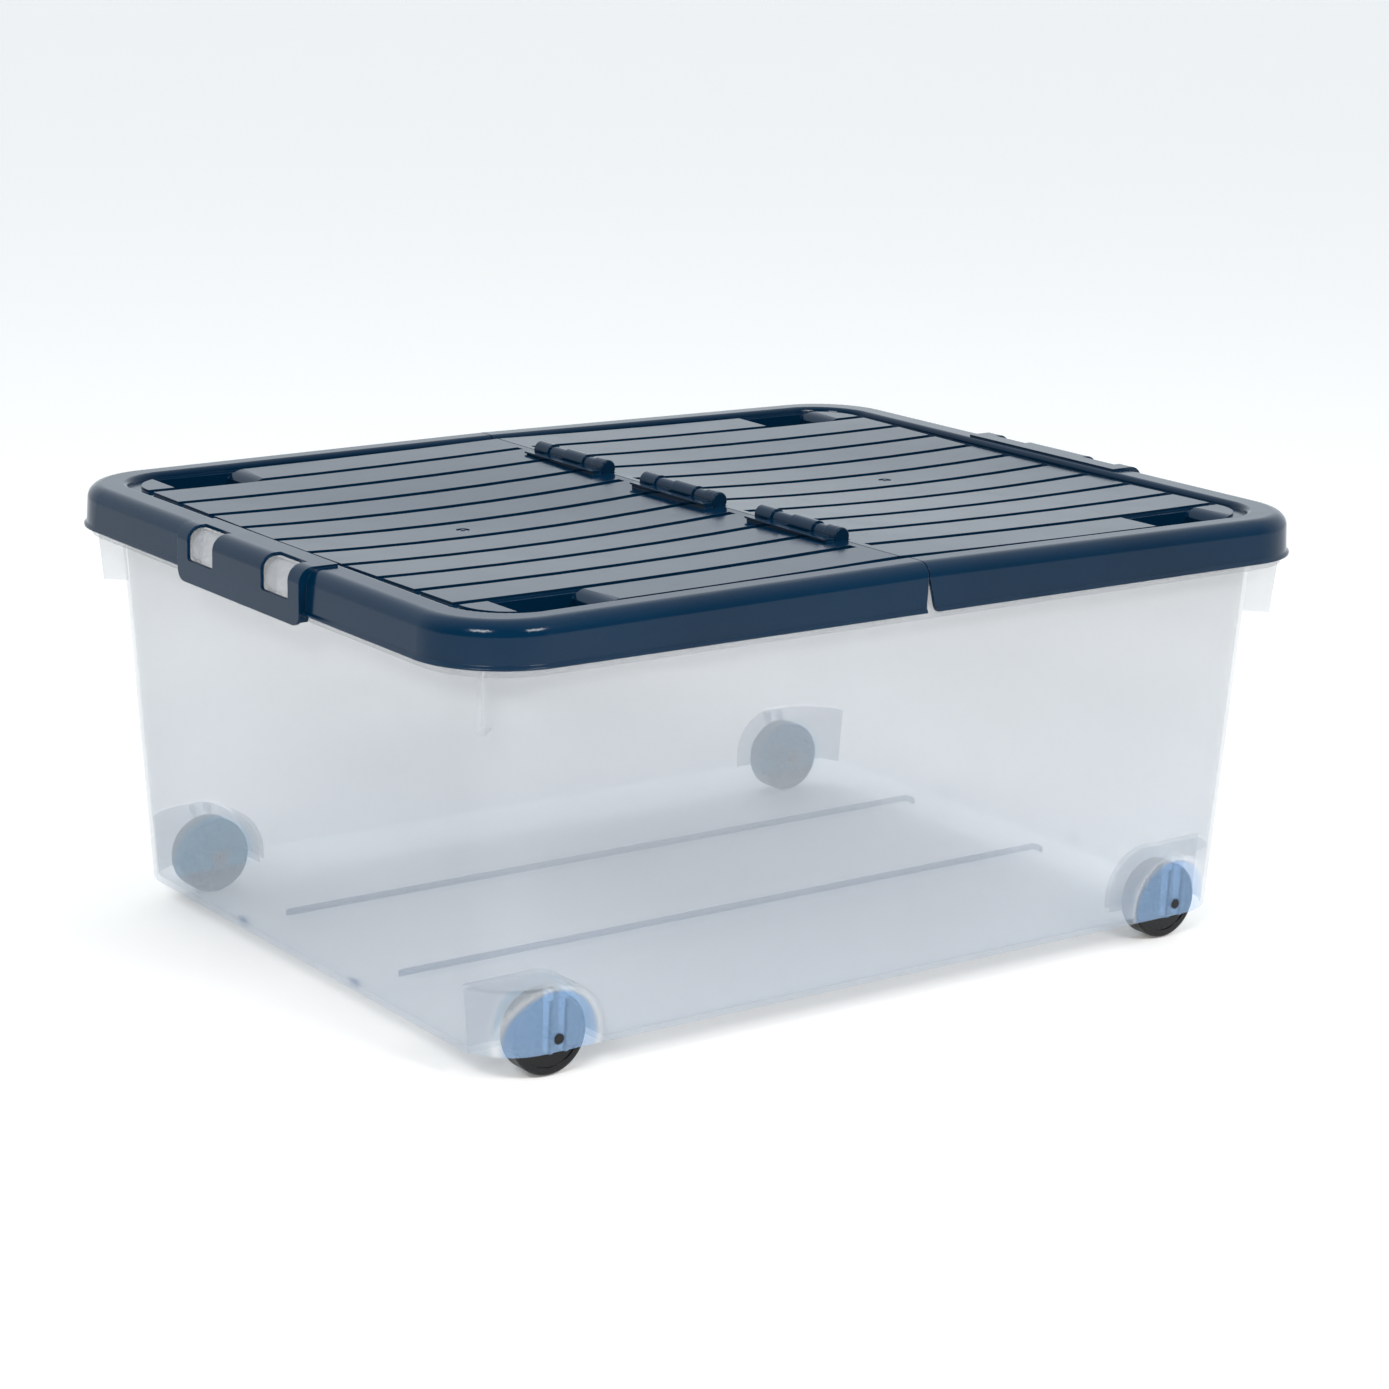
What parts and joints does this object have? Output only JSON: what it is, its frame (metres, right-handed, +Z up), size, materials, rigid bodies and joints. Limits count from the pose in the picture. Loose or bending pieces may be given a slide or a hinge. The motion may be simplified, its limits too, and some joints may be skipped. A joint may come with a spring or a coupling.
{
  "type": "under bed box",
  "caption": "Shallow translucent storage box on small wheels, with a centre-hinged two-part lid that clips over the short ends.",
  "frame": {"origin": "on the floor under the middle of the box", "axes": "+X along the box towards its right end, +Y across it towards the back, +Z up"},
  "size_m": [0.607, 0.4728, 0.27],
  "materials": {
    "tub_plastic": "translucent natural polypropylene, satin",
    "lid_plastic": "navy polypropylene, semi-gloss with a fine texture on top",
    "hinge_pin_plastic": "navy plastic, semi-gloss",
    "axle_plastic": "black plastic",
    "wheel_plastic": "black plastic, glossy"
  },
  "bodies": {
    "tub": {"tub": "tub_plastic", "axle_pins": "axle_plastic"},
    "hinge_line": {"hinge_pins": "hinge_pin_plastic"},
    "left_half": {"lid_left": "lid_plastic"},
    "right_half": {"lid_right": "lid_plastic"},
    "wheel_front_left": {"wheel_front_left": "wheel_plastic"},
    "wheel_front_right": {"wheel_front_right": "wheel_plastic"},
    "wheel_back_left": {"wheel_back_left": "wheel_plastic"},
    "wheel_back_right": {"wheel_back_right": "wheel_plastic"}
  },
  "joints": [
    {"name": "lid_lift", "type": "slide", "parent": "tub", "child": "hinge_line", "axis": [0, 0, 1], "range_m": [0, 0.15]},
    {"name": "left_fold", "type": "hinge", "parent": "hinge_line", "child": "left_half", "pos_m": [-0.0025, 0, 0.2646], "axis": [0, 1, 0], "range_deg": [0, 180]},
    {"name": "right_fold", "type": "hinge", "parent": "hinge_line", "child": "right_half", "pos_m": [-0.0025, 0, 0.2646], "axis": [0, -1, 0], "range_deg": [0, 180]},
    {"name": "wheel_front_left_spin", "type": "hinge", "parent": "tub", "child": "wheel_front_left", "pos_m": [-0.223, -0.19025, 0.0235], "axis": [0, 1, 0], "continuous": true},
    {"name": "wheel_front_right_spin", "type": "hinge", "parent": "tub", "child": "wheel_front_right", "pos_m": [0.223, -0.19025, 0.0235], "axis": [0, 1, 0], "continuous": true},
    {"name": "wheel_back_left_spin", "type": "hinge", "parent": "tub", "child": "wheel_back_left", "pos_m": [-0.223, 0.19025, 0.0235], "axis": [0, 1, 0], "continuous": true},
    {"name": "wheel_back_right_spin", "type": "hinge", "parent": "tub", "child": "wheel_back_right", "pos_m": [0.223, 0.19025, 0.0235], "axis": [0, 1, 0], "continuous": true}
  ]
}
